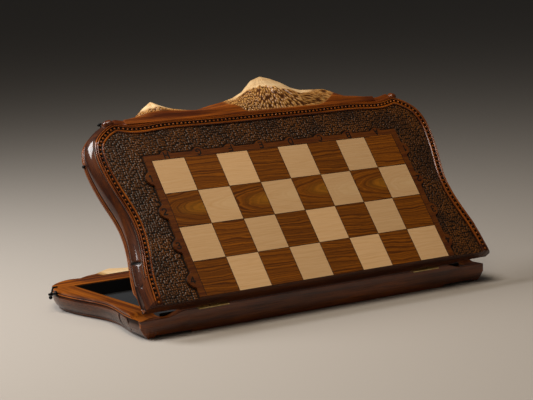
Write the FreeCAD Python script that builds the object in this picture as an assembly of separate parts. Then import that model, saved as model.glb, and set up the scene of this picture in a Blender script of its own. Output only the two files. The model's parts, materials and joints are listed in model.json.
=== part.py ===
"""Folding carved chess case: two tray-shaped halves hinged along one long edge.

Each half is built face up: X along the hinge, Y from the hinge edge to the crest, Z = 0 on the
playing face and the tray going down to the parting plane. The base is then turned face down,
and the lid is set on it and opened about the hinge pins. Row frame, in millimetres: +Z up,
+X along the hinge, +Y towards the crest, origin on the table under the middle of the base's
playing field.
"""
import FreeCAD
import Part
import math
import os

from FreeCAD import Vector

# Playing field
SQUARE = 50.0
FILES = 8
ROWS = 4
FIELD_X = SQUARE * FILES / 2
FIELD_Y = SQUARE * ROWS
INLAY_T = 3.0
STRING_W = 0.8
SIDE_BORDER = 9.5
REAR_BORDER = 8.3
MEDALLION_R = 10.0
MEDALLION_FLARE = 3.5
SIDE_MEDALLION_IN = 1.5
REAR_MEDALLION_IN = 5.2
GLYPH_DEPTH = 0.6
GLYPH_STROKE = 1.9
GLYPH_H = 8.8
GLYPH_W = 6.2
GLYPH_SHIFT = 3.0

# Tray
DEPTH = 29.0
PARTING_GAP = 0.15
GROUND = 3.0
PANEL_T = 7.0
RIM_DROP = 0.2
RECESS_IN = 20.5
PANEL_IN = 17.0
CAVITY_X = 249.0
HINGE_WALL = 12.0
LIPPING = 0.8
HINGE_TONGUE = 4.0
REAR_EDGE = 266.0
REAR_CAVITY = 228.0
LINING_T = 0.8
LINING_LIP = 1.5

# Left outline at the parting plane, from the hinge corner to the end of the rear scroll
OUTLINE = (
    (-284.0, 0.0), (-280.0, 45.0), (-273.5, 73.0), (-268.5, 103.0), (-269.0, 125.0),
    (-275.5, 156.0), (-281.0, 186.0), (-282.5, 206.0), (-280.5, 226.0), (-273.0, 244.0),
    (-262.0, 255.0), (-247.0, 264.5), (-231.0, 269.0), (-215.0, REAR_EDGE),
)
# Side moulding: (depth below the playing face, how far the side stands in from the outline)
MOULDING = ((RIM_DROP, 10.0), (3.0, 6.5), (8.0, 3.0), (15.0, 0.8), (22.0, 0.0))

# Finger gap cut into the parting edge at both hinge corners
GAP_DEEP = 5.5
GAP_FULL_X = 245.0
GAP_END_X = 218.0
GAP_SIDE_FULL = 20.0
GAP_SIDE_END = 34.0

# Mountain crest, seen face up with the small peak on the left: (x, y) of its ridge line
RIDGE = (
    (-214.0, 268.0), (-200.0, 275.0), (-184.0, 279.0), (-168.0, 290.5), (-152.0, 300.0),
    (-144.0, 295.5), (-132.0, 289.5), (-120.0, 286.0), (-102.0, 282.5), (-86.0, 281.0),
    (-63.0, 286.0), (-42.0, 289.5), (-21.0, 294.5), (-2.0, 303.0), (10.0, 312.0),
    (20.0, 319.5), (38.0, 325.0), (52.0, 320.5), (68.0, 312.5), (82.0, 302.0),
    (96.0, 297.5), (117.0, 296.5), (136.0, 295.5), (148.0, 290.5), (154.0, 284.0),
    (172.0, 279.0), (184.0, 271.0), (200.0, 268.0),
)
CREST_TOP = 2.0
CREST_KNEE = 20.0
CREST_FOOT_SHARE = 0.25

# Hinges
HINGE_X = 176.0
LEAF_L = 46.0
LEAF_W = 8.5
LEAF_T = 1.0
KNUCKLES = 5
KNUCKLE_GAP = 0.25
KNUCKLE_R = 1.5
PIN_R = 0.7
PIN_PLAY = 0.05
AXIS_OUT = 1.8
SCREW_PITCH = 15.0
SCREW_ROW = 4.6
SCREW_HEAD_R = 1.9
SCREW_R = 0.9
SCREW_L = 8.0

# Side latches: a lever on the base stands up with its finger over a button on the lid
LATCH_AT = (-282.0, 216.0)
LATCH_OUT = (-0.995, 0.1)
LATCH_BELOW = 4.5
BOSS_R = 3.6
BOSS_L = 2.2
POST_R = 1.2
POST_L = 9.6
POST_HEAD_R = 1.8
LEVER_OFF = 7.4
LEVER_R = 1.2
LEVER_EYE_R = 2.5
LEVER_PLAY = 0.1
BALL_R = 2.6
BALL_ARM = 5.6
BUTTON_R = 2.2
BUTTON_L = 2.8
BUTTON_ABOVE = 3.6
FINGER_GAP = 0.25
LATCH_LEAN = -30.0

# Turned knob at the lid's left rear corner, above the parting plane
KNOB_AT = (-238.5, 267.6)
KNOB_OUT = (-0.2, 0.98)
KNOB_ABOVE = 7.5
KNOB_R = 3.4
KNOB_T = 2.6
KNOB_L = 4.4

# Places in the row frame
LID_ANGLE = 52.4
FACE_Y = -FIELD_Y / 2
AXIS_Y = FACE_Y - AXIS_OUT

OUT = "parts"
X_AXIS = Vector(1, 0, 0)
Z_AXIS = Vector(0, 0, 1)


def box(x0, x1, y0, y1, z0, z1):
    return Part.makeBox(x1 - x0, y1 - y0, z1 - z0, Vector(x0, y0, z0))


def rod(start, direction, length, radius):
    return Part.makeCylinder(radius, length, start, direction)


def prism(points, z0, z1):
    """A straight-sided block on a closed polygon of (x, y) points."""
    corners = [Vector(x, y, z0) for x, y in points]
    face = Part.Face(Part.makePolygon(corners + corners[:1]))
    return face.extrude(Vector(0, 0, z1 - z0))


def fuse(shapes):
    joined = shapes[0]
    for shape in shapes[1:]:
        joined = joined.fuse(shape)
    return joined.removeSplitter()


def mirrored(shape):
    return shape.mirror(Vector(0, 0, 0), X_AXIS)


# Outline of a half


def inset_points(inset, fade):
    """The left outline moved inwards. With fade, the inset dies away over the rear scroll."""
    last = len(OUTLINE) - 1
    moved = []
    for i, (x, y) in enumerate(OUTLINE):
        before = OUTLINE[max(i - 1, 0)]
        after = OUTLINE[min(i + 1, last)]
        run = Vector(after[0] - before[0], after[1] - before[1], 0).normalize()
        share = min(1.0, (last - i) / 4) if fade else 1.0
        if i == 0:
            moved.append(Vector(x + inset * share, 0, 0))
        else:
            moved.append(Vector(x + run.y * inset * share, y - run.x * inset * share, 0))
    return moved


def half_wire(inset, depth, fade=False):
    """Closed outline of a half, at a depth below the playing face."""
    left = [p - Z_AXIS * depth for p in inset_points(inset, fade)]
    right = [Vector(-p.x, p.y, p.z) for p in reversed(left)]
    edges = []
    for points in (left, right):
        curve = Part.BSplineCurve()
        curve.interpolate(points)
        edges.append(curve.toShape())
    rear = Part.makeLine(left[-1], right[0])
    front = Part.makeLine(right[-1], left[0])
    return Part.Wire([edges[0], rear, edges[1], front])


def outline_prism(inset, top, bottom):
    """Solid between two depths, straight-sided, on the outline moved inwards."""
    return Part.Face(half_wire(inset, bottom)).extrude(Vector(0, 0, bottom - top))


def tray_blank():
    """The carved outside of a half, before it is hollowed."""
    wires = [half_wire(inset, depth, fade=True) for depth, inset in MOULDING]
    wires.append(half_wire(0, DEPTH - PARTING_GAP, fade=True))
    return Part.makeLoft(wires, True, True)


def tray_cavity():
    """The hollow of the tray, above the panel's inner face."""
    return box(-CAVITY_X, CAVITY_X, HINGE_WALL, REAR_CAVITY, -DEPTH - 1, -GROUND - PANEL_T)


def tray_panel():
    """Pebbled ground board, let into the rails all round."""
    board = outline_prism(PANEL_IN, GROUND, GROUND + PANEL_T)
    return board.common(box(-300, 300, HINGE_WALL - HINGE_TONGUE, 300, -DEPTH, 0))


def finger_gap():
    """The wedge that leaves a gap between the halves at a hinge corner."""
    parting = -(DEPTH + 1)
    deep = -(DEPTH - GAP_DEEP)
    across = [
        (-300, parting), (-300, deep), (-GAP_FULL_X, deep), (-GAP_END_X, -DEPTH), (-GAP_END_X, parting)]
    along = [
        (-1, parting), (-1, deep), (GAP_SIDE_FULL, deep), (GAP_SIDE_END, -DEPTH), (GAP_SIDE_END, parting)]
    corners = [Vector(x, -1, z) for x, z in across]
    front = Part.Face(Part.makePolygon(corners + corners[:1])).extrude(Vector(0, HINGE_WALL + 1, 0))
    corners = [Vector(-300, y, z) for y, z in along]
    side = Part.Face(Part.makePolygon(corners + corners[:1])).extrude(Vector(45, 0, 0))
    return fuse([front, side])


def rails(cuts):
    """The four rails of a half: hinge, left, right and rear."""
    edge_x = FIELD_X + SIDE_BORDER
    ring = tray_blank().cut(outline_prism(RECESS_IN, -1, GROUND))
    ring = ring.fuse(box(-edge_x, edge_x, 0, LIPPING, -GROUND - 1, 0))
    ring = ring.cut(tray_panel()).cut(tray_cavity())
    gap = finger_gap()
    ring = ring.cut(gap).cut(mirrored(gap))
    for cut in cuts:
        ring = ring.cut(cut)
    mitre_x = -OUTLINE[0][0]
    wall_x = mitre_x - HINGE_WALL
    mitred = [(-mitre_x - 1, -1), (mitre_x + 1, -1), (wall_x, HINGE_WALL), (-wall_x, HINGE_WALL)]
    hinge_zone = prism(mitred, -DEPTH - 1, 1)
    rear_zone = box(-300, 300, REAR_CAVITY, 300, -DEPTH - 1, 1)
    side_zone = box(-300, -220, -1, REAR_CAVITY, -DEPTH - 1, 1).cut(hinge_zone)
    return {
        "hinge_rail": ring.common(hinge_zone),
        "left_rail": ring.common(side_zone),
        "right_rail": ring.common(mirrored(side_zone)),
        "rear_rail": ring.common(rear_zone),
    }


def crest():
    """The carved range: a wall behind the rear rail whose face slopes up to the ridge."""
    levels = ((CREST_TOP, CREST_FOOT_SHARE), (CREST_KNEE, 1.0), (DEPTH - PARTING_GAP, 1.0))
    wires = []
    for depth, share in levels:
        points = [Vector(RIDGE[0][0], REAR_EDGE, -depth)]
        for x, y in RIDGE:
            points.append(Vector(x, REAR_EDGE + (y - REAR_EDGE) * share, -depth))
        points.append(Vector(RIDGE[-1][0], REAR_EDGE, -depth))
        wires.append(Part.makePolygon(points + points[:1]))
    return Part.makeLoft(wires, True, True)


def wall_lining(panel_face):
    outer = tray_cavity().common(box(-300, 300, 0, 300, -(DEPTH - LINING_LIP), -panel_face))
    x, near, far = CAVITY_X - LINING_T, HINGE_WALL + LINING_T, REAR_CAVITY - LINING_T
    return outer.cut(box(-x, x, near, far, -DEPTH, 0))


def floor_lining():
    board_face = GROUND + PANEL_T
    return tray_cavity().common(box(-300, 300, 0, 300, -(board_face + LINING_T), -board_face))


# Playing field


def square_at(column, row):
    x0 = -FIELD_X + column * SQUARE + STRING_W / 2
    y0 = FIELD_Y - (row + 1) * SQUARE + STRING_W / 2
    front = LIPPING if row == ROWS - 1 else y0
    side = SQUARE - STRING_W
    return box(x0, x0 + side, front, y0 + side, -INLAY_T, 0)


def squares(parity):
    cells = [(c, r) for c in range(FILES) for r in range(ROWS) if (c + r) % 2 == parity]
    return Part.makeCompound([square_at(column, row) for column, row in cells])


def stringing():
    """Thin dark lines between the squares and round the field."""
    edge = STRING_W / 2
    lines = []
    for i in range(FILES + 1):
        x = -FIELD_X + i * SQUARE
        lines.append(box(x - edge, x + edge, LIPPING, FIELD_Y + edge, -INLAY_T, 0))
    for i in range(1, ROWS + 1):
        y = i * SQUARE
        lines.append(box(-FIELD_X - edge, FIELD_X + edge, y - edge, y + edge, -INLAY_T, 0))
    return fuse(lines)


def medallion_centres():
    """Rear centres from left to right, then side centres from the rear to the hinge."""
    rear_y = FIELD_Y + REAR_BORDER - REAR_MEDALLION_IN
    side_x = FIELD_X + SIDE_BORDER - SIDE_MEDALLION_IN
    rear = [(-FIELD_X + (i + 0.5) * SQUARE, rear_y) for i in range(FILES)]
    side = [(side_x, FIELD_Y - (i + 0.5) * SQUARE) for i in range(ROWS)]
    return rear, side


def flared(strip, discs, beyond):
    """Strip and discs in one, with the inner corners between them rounded."""
    joined = fuse([strip] + discs)
    corners = []
    for edge in joined.Edges:
        ends = [v.Point for v in edge.Vertexes]
        upright = len(ends) == 2 and abs(ends[0].z - ends[1].z) > INLAY_T / 2
        if upright and beyond(ends[0]):
            corners.append(edge)
    return joined.makeFillet(MEDALLION_FLARE, corners)


def field_borders():
    """The scalloped walnut frame: left, right and rear strips, mitred at the rear corners."""
    inner_x = FIELD_X + STRING_W / 2
    inner_y = FIELD_Y + STRING_W / 2
    outer_x = FIELD_X + SIDE_BORDER
    outer_y = FIELD_Y + REAR_BORDER
    rear_at, side_at = medallion_centres()
    mitred = [(-inner_x, inner_y), (inner_x, inner_y), (outer_x, outer_y), (-outer_x, outer_y)]
    strip = prism(mitred, -INLAY_T, 0)
    discs = [rod(Vector(x, y, -INLAY_T), Z_AXIS, INLAY_T, MEDALLION_R) for x, y in rear_at]
    inside = box(-outer_x, outer_x, LIPPING, inner_y, -INLAY_T, 0)
    on_rear = [disc.cut(inside) for disc in discs]
    rear = flared(strip, on_rear, lambda p: abs(p.y - outer_y) < 0.01 and abs(p.x) < outer_x - 1)
    mitred = [(inner_x, LIPPING), (outer_x, LIPPING), (outer_x, outer_y), (inner_x, inner_y)]
    strip = prism(mitred, -INLAY_T, 0)
    discs = [rod(Vector(x, y, -INLAY_T), Z_AXIS, INLAY_T, MEDALLION_R) for x, y in side_at]
    inside = box(0, inner_x, LIPPING, outer_y, -INLAY_T, 0)
    on_side = [disc.cut(inside) for disc in discs]
    right = flared(strip, on_side, lambda p: abs(p.x - outer_x) < 0.01 and 1 < p.y < outer_y - 1)
    return {"left_border": mirrored(right), "right_border": right, "rear_border": rear}


# Coordinate inlays. A glyph is strokes on a grid one unit wide and one unit high.


def arc_points(cx, cy, rx, ry, start, end, steps=8):
    turn = [math.radians(start + (end - start) * i / steps) for i in range(steps + 1)]
    return [(cx + rx * math.cos(a), cy + ry * math.sin(a)) for a in turn]


def glyph_strokes(mark):
    upper = arc_points(0.5, 0.75, 0.42, 0.25, -90, 90)
    lower = arc_points(0.5, 0.26, 0.46, 0.26, -90, 90)
    shapes = {
        "A": [[(0, 0), (0.5, 1), (1, 0)], [(0.2, 0.36), (0.8, 0.36)]],
        "B": [[(0.5, 0), (0, 0), (0, 1), (0.5, 1)], upper, lower, [(0, 0.51), (0.5, 0.51)]],
        "C": [arc_points(0.55, 0.5, 0.55, 0.5, 50, 310, 12)],
        "D": [[(0.4, 0), (0, 0), (0, 1), (0.4, 1)], arc_points(0.4, 0.5, 0.6, 0.5, -90, 90)],
        "E": [[(0.9, 0), (0, 0), (0, 1), (0.9, 1)], [(0, 0.5), (0.75, 0.5)]],
        "F": [[(0, 0), (0, 1), (0.9, 1)], [(0, 0.52), (0.75, 0.52)]],
        "G": [arc_points(0.55, 0.5, 0.55, 0.5, 50, 350, 12) + [(0.62, 0.42)]],
        "H": [[(0, 0), (0, 1)], [(1, 0), (1, 1)], [(0, 0.5), (1, 0.5)]],
        "1": [[(0.25, 0.78), (0.55, 1), (0.55, 0)]],
        "2": [arc_points(0.5, 0.72, 0.45, 0.28, 165, -35) + [(0.05, 0), (0.95, 0)]],
        "3": [
            arc_points(0.45, 0.76, 0.42, 0.24, 150, -90),
            arc_points(0.45, 0.26, 0.48, 0.26, 90, -150)],
        "4": [[(0.72, 0), (0.72, 1), (0, 0.3), (1, 0.3)]],
        "5": [[(0.88, 1), (0.2, 1), (0.12, 0.55)] + arc_points(0.45, 0.31, 0.48, 0.31, 120, -150)],
        "6": [arc_points(0.5, 0.3, 0.46, 0.3, 0, 360, 14), [(0.06, 0.36), (0.3, 0.78), (0.72, 1)]],
        "7": [[(0.05, 1), (0.95, 1), (0.38, 0)]],
        "8": [
            arc_points(0.5, 0.76, 0.38, 0.24, 0, 360, 12),
            arc_points(0.5, 0.26, 0.46, 0.26, 0, 360, 14)],
    }
    return shapes[mark]


def glyph(mark, centre, turned):
    """One inlaid letter or number, as a flat solid flush with the playing face."""
    half = GLYPH_STROKE / 2
    bits = []
    for stroke in glyph_strokes(mark):
        points = [Vector((u - 0.5) * GLYPH_W, (v - 0.5) * GLYPH_H, -GLYPH_DEPTH) for u, v in stroke]
        bits += [rod(p, Z_AXIS, GLYPH_DEPTH, half) for p in points]
        for start, end in zip(points, points[1:]):
            run = end - start
            bar = box(0, run.Length, -half, half, 0, GLYPH_DEPTH)
            bar.rotate(Vector(0, 0, 0), Z_AXIS, math.degrees(math.atan2(run.y, run.x)))
            bar.translate(start)
            bits.append(bar)
    letter = bits[0].multiFuse(bits[1:]).removeSplitter()
    if turned:
        letter.rotate(Vector(0, 0, 0), Z_AXIS, 180)
    letter.translate(Vector(centre[0], centre[1], 0))
    return letter


def coordinates(files, ranks):
    """Letters along the rear edge and numbers down both sides, clear of the lines round the field."""
    rear_at, side_at = medallion_centres()
    out = GLYPH_SHIFT
    letters = [glyph(mark, (x, y + out), True) for mark, (x, y) in zip(files, rear_at)]
    right = [glyph(mark, (x + out, y), True) for mark, (x, y) in zip(ranks, side_at)]
    left = [glyph(mark, (-x - out, y), False) for mark, (x, y) in zip(ranks, side_at)]
    return letters, left, right


# Hinges, built on the closed case with the parting plane at Z = 0 and the wall face at Y = 0


def knuckle_spans(centre):
    pitch = LEAF_L / KNUCKLES
    start = centre - LEAF_L / 2 + KNUCKLE_GAP / 2
    return [(start + i * pitch, start + (i + 1) * pitch - KNUCKLE_GAP) for i in range(KNUCKLES)]


def hinge_screws(centre):
    """Three countersunk screws, driven down from the parting plane."""
    screws = []
    top = -PARTING_GAP
    for step in (-1, 0, 1):
        at = Vector(centre + step * SCREW_PITCH, SCREW_ROW, top)
        head = Part.makeCone(SCREW_HEAD_R, SCREW_R, LEAF_T, at, -Z_AXIS)
        screws.append(head.fuse(rod(at, -Z_AXIS, SCREW_L, SCREW_R)).removeSplitter())
    return screws


def hinge_leaf(centre, own, bore):
    """A leaf lying under the parting plane, with its own knuckles round the pin."""
    top = -PARTING_GAP
    plate = box(centre - LEAF_L / 2, centre + LEAF_L / 2, 0, LEAF_W, top - LEAF_T, top)
    bits = [plate]
    spans = knuckle_spans(centre)
    for i in own:
        x0, x1 = spans[i]
        bits.append(rod(Vector(x0, -AXIS_OUT, 0), X_AXIS, x1 - x0, KNUCKLE_R))
        bits.append(box(x0, x1, -AXIS_OUT, 0.5, top - LEAF_T, top))
    leaf = fuse(bits)
    leaf = leaf.cut(rod(Vector(centre - LEAF_L, -AXIS_OUT, 0), X_AXIS, 2 * LEAF_L, bore))
    for screw in hinge_screws(centre):
        leaf = leaf.cut(screw)
    return leaf


def hinge_mortise(centre):
    return box(centre - LEAF_L / 2, centre + LEAF_L / 2, -1, LEAF_W, -PARTING_GAP - LEAF_T, 1)


def hinge_pin(centre):
    return rod(Vector(centre - LEAF_L / 2, -AXIS_OUT, 0), X_AXIS, LEAF_L, PIN_R)


# Latches and knob, built on the left side with the parting plane at Z = 0


def latch_frame():
    """Point on the parting outline, and the outward direction there."""
    out = Vector(LATCH_OUT[0], LATCH_OUT[1], 0).normalize()
    return Vector(LATCH_AT[0], LATCH_AT[1], 0), out


def latch_post():
    """Turned post on a boss; its root runs into the rail by one boss radius."""
    foot, out = latch_frame()
    foot = foot - Z_AXIS * LATCH_BELOW
    root = rod(foot - out * BOSS_R, out, BOSS_R + 1, POST_R)
    boss = rod(foot - out * 2, out, BOSS_L + 2, BOSS_R)
    shank = rod(foot, out, POST_L, POST_R)
    head = Part.makeSphere(POST_HEAD_R, foot + out * (POST_L + POST_HEAD_R * 0.3))
    return fuse([root, boss, shank, head])


def latch_button():
    """Low round button on the lid's side, with a rounded rim."""
    foot, out = latch_frame()
    foot = foot + Z_AXIS * BUTTON_ABOVE
    button = rod(foot - out * 2, out, BUTTON_L + 2, BUTTON_R)
    outer = foot + out * BUTTON_L
    rim = [e for e in button.Edges if e.Closed and abs((e.CenterOfMass - outer).dot(out)) < 0.01]
    root = rod(foot - out * (BOSS_R + 1), out, BOSS_R, POST_R)
    return fuse([button.makeFillet(0.7, rim), root])


def latch_lever():
    """Eye, arm and inward finger, with a ball to push it by, standing upright as when it is shut."""
    foot, out = latch_frame()
    pivot = foot + out * LEVER_OFF - Z_AXIS * LATCH_BELOW
    reach = LATCH_BELOW + BUTTON_ABOVE + BUTTON_R + LEVER_R + FINGER_GAP
    elbow = pivot + Z_AXIS * reach
    eye = rod(pivot - out * LEVER_R, out, 2 * LEVER_R, LEVER_EYE_R)
    arm = rod(pivot + Z_AXIS * LEVER_EYE_R * 0.8, Z_AXIS, reach - LEVER_EYE_R * 0.8, LEVER_R)
    finger = rod(elbow - out * (LEVER_OFF - 1), out, LEVER_OFF - 1, LEVER_R)
    corner = Part.makeSphere(LEVER_R, elbow)
    tail = rod(pivot - Z_AXIS * BALL_ARM, Z_AXIS, BALL_ARM - LEVER_EYE_R * 0.8, LEVER_R)
    ball = Part.makeSphere(BALL_R, pivot - Z_AXIS * BALL_ARM)
    lever = fuse([eye, arm, corner, finger, tail, ball])
    bore = rod(pivot - out * 5, out, 10, POST_R + LEVER_PLAY)
    return lever.cut(bore), pivot, out


def corner_knob(level):
    """Turned knob with a rounded disc, its shank let into the rail."""
    out = Vector(KNOB_OUT[0], KNOB_OUT[1], 0).normalize()
    foot = Vector(KNOB_AT[0], KNOB_AT[1], level)
    shank = rod(foot - out * BOSS_R, out, BOSS_R + KNOB_L + 1, POST_R)
    disc = rod(foot + out * KNOB_L, out, KNOB_T, KNOB_R)
    disc = disc.makeFillet(KNOB_T * 0.45, [e for e in disc.Edges if e.Closed])
    return fuse([shank, disc])


# Placing the halves


def lay_base(shape):
    """From face up to face down: half a turn about Y, then onto the table."""
    placed = shape.copy()
    placed.rotate(Vector(0, 0, 0), Vector(0, 1, 0), 180)
    placed.translate(Vector(0, FACE_Y, 0))
    return placed


def open_lid(shape):
    """From the closed case to the open rest pose."""
    placed = shape.copy()
    placed.rotate(Vector(0, AXIS_Y, DEPTH), X_AXIS, LID_ANGLE)
    return placed


def lay_lid(shape):
    """From face up to its place on the closed case, then opened."""
    placed = shape.copy()
    placed.translate(Vector(0, FACE_Y, 2 * DEPTH))
    return open_lid(placed)


def on_case(shape):
    """Hardware, from its own frame to the closed case."""
    placed = shape.copy()
    placed.translate(Vector(0, FACE_Y, DEPTH))
    return placed


def flipped(shape):
    """The same hardware on the other side of the parting plane."""
    return shape.mirror(Vector(0, 0, 0), Z_AXIS)


def half_parts(files, ranks, lid):
    """Every wooden and lined piece of one half, face up."""
    cuts = []
    for side in (-1, 1):
        mortise = hinge_mortise(side * HINGE_X)
        screws = Part.makeCompound(hinge_screws(side * HINGE_X))
        cuts += [flipped(mortise), flipped(screws)]
    if lid:
        button = latch_button()
        cuts += [button, mirrored(button), corner_knob(KNOB_ABOVE)]
    else:
        post = flipped(latch_post())
        cuts += [post, mirrored(post)]
    for cut in cuts:
        cut.translate(Vector(0, 0, -DEPTH))
    nodes = rails(cuts)
    range_of_peaks = crest()
    nodes["mountain_crest"] = range_of_peaks if lid else mirrored(range_of_peaks)
    nodes["ground_panel"] = tray_panel()
    nodes["light_squares"] = squares(0)
    nodes["dark_squares"] = squares(1)
    nodes["stringing"] = stringing()
    letters, left, right = coordinates(files, ranks)
    borders = field_borders()
    for name, marks in (("rear_border", letters), ("left_border", left), ("right_border", right)):
        nodes[name] = borders[name].cut(Part.makeCompound(marks))
    nodes["coordinate_inlays"] = Part.makeCompound(letters + left + right)
    nodes["floor_lining"] = floor_lining()
    nodes["wall_lining"] = wall_lining(GROUND + PANEL_T + LINING_T)
    return nodes


def hardware(nodes):
    """Hinges and latches, each piece on the half that carries it."""
    base_screws, lid_screws = [], []
    for name, side in (("left", -1), ("right", 1)):
        centre = side * HINGE_X
        nodes[f"{name}_hinge_base_leaf"] = on_case(hinge_leaf(centre, (0, 2, 4), PIN_R))
        lid_leaf = flipped(hinge_leaf(centre, (1, 3), PIN_R + PIN_PLAY))
        nodes[f"{name}_hinge_lid_leaf"] = open_lid(on_case(lid_leaf))
        nodes[f"{name}_hinge_pin"] = on_case(hinge_pin(centre))
        base_screws += [on_case(screw) for screw in hinge_screws(centre)]
        lid_screws += [open_lid(on_case(flipped(screw))) for screw in hinge_screws(centre)]
    nodes["base_hinge_screws"] = Part.makeCompound(base_screws)
    nodes["lid_hinge_screws"] = Part.makeCompound(lid_screws)
    lever, pivot, out = latch_lever()
    lever.rotate(pivot, out, LATCH_LEAN)
    for name, turn in (("left", lambda s: s), ("right", mirrored)):
        nodes[f"{name}_latch_post"] = on_case(turn(latch_post()))
        nodes[f"{name}_latch_lever"] = on_case(turn(lever))
        nodes[f"{name}_latch_stud"] = open_lid(on_case(turn(latch_button())))
    nodes["lid_corner_knob"] = open_lid(on_case(corner_knob(KNOB_ABOVE)))


def export(nodes):
    os.makedirs(OUT, exist_ok=True)
    for name, shape in sorted(nodes.items()):
        if not shape.isValid() or not shape.Solids:
            print("INVALID", name, shape.isValid(), len(shape.Solids))
        shape.exportStep(f"{OUT}/{name}.step")
        print(f"{name:28s} solids {len(shape.Solids):3d}  volume {shape.Volume / 1000:9.2f} cm3")


def other_side(name):
    """A side piece's name once its half lies face down, when left and right change places."""
    if name.startswith("left_"):
        return name.replace("left_", "right_")
    return name.replace("right_", "left_")


def main():
    nodes = {}
    for name, shape in half_parts("ABCDEFGH", "8765", lid=False).items():
        nodes["base_" + other_side(name)] = lay_base(shape)
    for name, shape in half_parts("HGFEDCBA", "1234", lid=True).items():
        nodes["lid_" + name] = lay_lid(shape)
    hardware(nodes)
    export(nodes)


main()
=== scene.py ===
"""Looks of the folding carved chess case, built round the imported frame.

Carved pieces are made in millimetres in a half's own face-up frame, as a carver sees the work:
X along the hinge, Y from the hinge edge to the crest, Z = 0 on the playing face, depth downwards.
They are then laid in the row frame with the base face down and the lid open on its hinge.
"""
import json
import math

import bmesh
import bpy
import numpy as np
from mathutils import Matrix, Vector
from mathutils.kdtree import KDTree


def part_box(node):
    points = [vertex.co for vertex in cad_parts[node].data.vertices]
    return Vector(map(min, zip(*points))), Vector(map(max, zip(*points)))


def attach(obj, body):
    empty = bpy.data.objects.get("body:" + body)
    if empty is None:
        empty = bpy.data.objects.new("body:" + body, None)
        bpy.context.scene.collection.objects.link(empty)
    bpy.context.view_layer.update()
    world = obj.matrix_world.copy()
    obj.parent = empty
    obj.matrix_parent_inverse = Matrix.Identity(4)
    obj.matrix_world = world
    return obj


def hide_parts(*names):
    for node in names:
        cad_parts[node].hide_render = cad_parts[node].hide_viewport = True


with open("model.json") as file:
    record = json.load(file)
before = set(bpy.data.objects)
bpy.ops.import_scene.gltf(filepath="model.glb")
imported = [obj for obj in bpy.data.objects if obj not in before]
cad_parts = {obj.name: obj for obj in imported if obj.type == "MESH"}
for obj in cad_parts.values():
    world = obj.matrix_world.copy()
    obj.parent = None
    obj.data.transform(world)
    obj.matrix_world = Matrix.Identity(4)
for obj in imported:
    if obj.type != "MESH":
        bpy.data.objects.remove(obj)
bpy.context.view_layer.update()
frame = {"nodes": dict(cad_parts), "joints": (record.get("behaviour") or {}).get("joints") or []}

MM = 0.001
SEED = 11
HALVES = ("base", "lid")

# Outline of a half at the parting plane, hinge corner to rear scroll, left side
OUTLINE = (
    (-284.0, 0.0), (-280.0, 45.0), (-273.5, 73.0), (-268.5, 103.0), (-269.0, 125.0),
    (-275.5, 156.0), (-281.0, 186.0), (-282.5, 206.0), (-280.5, 226.0), (-273.0, 244.0),
    (-262.0, 255.0), (-247.0, 264.5), (-231.0, 269.0), (-215.0, 266.0),
)
HALF_WIDTH = -OUTLINE[0][0]
# The outline runs straight behind the field, through these places along X
REAR_STEPS = (-170.0, -100.0, 0.0, 100.0, 170.0)
REAR_EDGE = 266.0
# Ridge line of the range, small peak on the left
RIDGE = (
    (-214.0, 268.0), (-200.0, 275.0), (-184.0, 279.0), (-168.0, 290.5), (-152.0, 300.0),
    (-144.0, 295.5), (-132.0, 289.5), (-120.0, 286.0), (-102.0, 282.5), (-86.0, 281.0),
    (-63.0, 286.0), (-42.0, 289.5), (-21.0, 294.5), (-2.0, 303.0), (10.0, 312.0),
    (20.0, 319.5), (38.0, 325.0), (52.0, 320.5), (68.0, 312.5), (82.0, 302.0),
    (96.0, 297.5), (117.0, 296.5), (136.0, 295.5), (148.0, 290.5), (154.0, 284.0),
    (172.0, 279.0), (184.0, 271.0), (200.0, 266.3),
)
# Playing field, tray and walls
SQUARE = 50.0
FIELD_X = 200.0
FIELD_Y = 200.0
GROUND = 3.0
PARTING = 28.85
HINGE_WALL = 12.0
MITRE_RUN = 14.0
REAR_CAVITY = 228.0
CAVITY_X = 249.0
CAVITY_TOP = 10.0
LIPPING = 0.8
LIPPING_X = 209.5
# Finger gap at a hinge corner: its depth, its reach along the hinge wall and along the side
GAP_DEPTH = 23.5
GAP_FULL_X = 245.0
GAP_END_X = 218.0
GAP_SIDE = (20.0, 34.0)

# The two frames meet at the hinge
hinge_joint = next(j for j in frame["joints"] if j["name"] == "lid_hinge")
HINGE_AT = Vector(hinge_joint["pos_m"])
OPEN_ANGLE = -math.radians(hinge_joint["range_deg"][0])
FACE_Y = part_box("base_hinge_rail")[0].y
TO_ROW = {
    "base": Matrix.Translation((0, FACE_Y, 0)) @ Matrix.Rotation(math.pi, 4, "Y"),
    "lid": Matrix.Translation(HINGE_AT) @ Matrix.Rotation(OPEN_ANGLE, 4, "X")
    @ Matrix.Translation((0, FACE_Y - HINGE_AT.y, HINGE_AT.z)),
}


# ---------------------------------------------------------------- shaders


def linear(code):
    """A linear RGBA colour from an sRGB hex value."""
    parts = [int(code[i:i + 2], 16) / 255 for i in (0, 2, 4)]
    return [c / 12.92 if c <= 0.04045 else ((c + 0.055) / 1.055) ** 2.4 for c in parts] + [1.0]


def add(tree, kind, inputs=(), **settings):
    """A node with its settings and its inputs, each a value or a socket to link from."""
    node = tree.nodes.new(kind)
    for name, value in settings.items():
        setattr(node, name, value)
    for key, value in dict(inputs).items():
        if isinstance(value, bpy.types.NodeSocket):
            tree.links.new(value, node.inputs[key])
        else:
            node.inputs[key].default_value = value
    return node


def new_material(name):
    """Empty material and its node tree."""
    material = bpy.data.materials.new(name)
    material.use_nodes = True
    material.node_tree.nodes.clear()
    return material, material.node_tree


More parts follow.
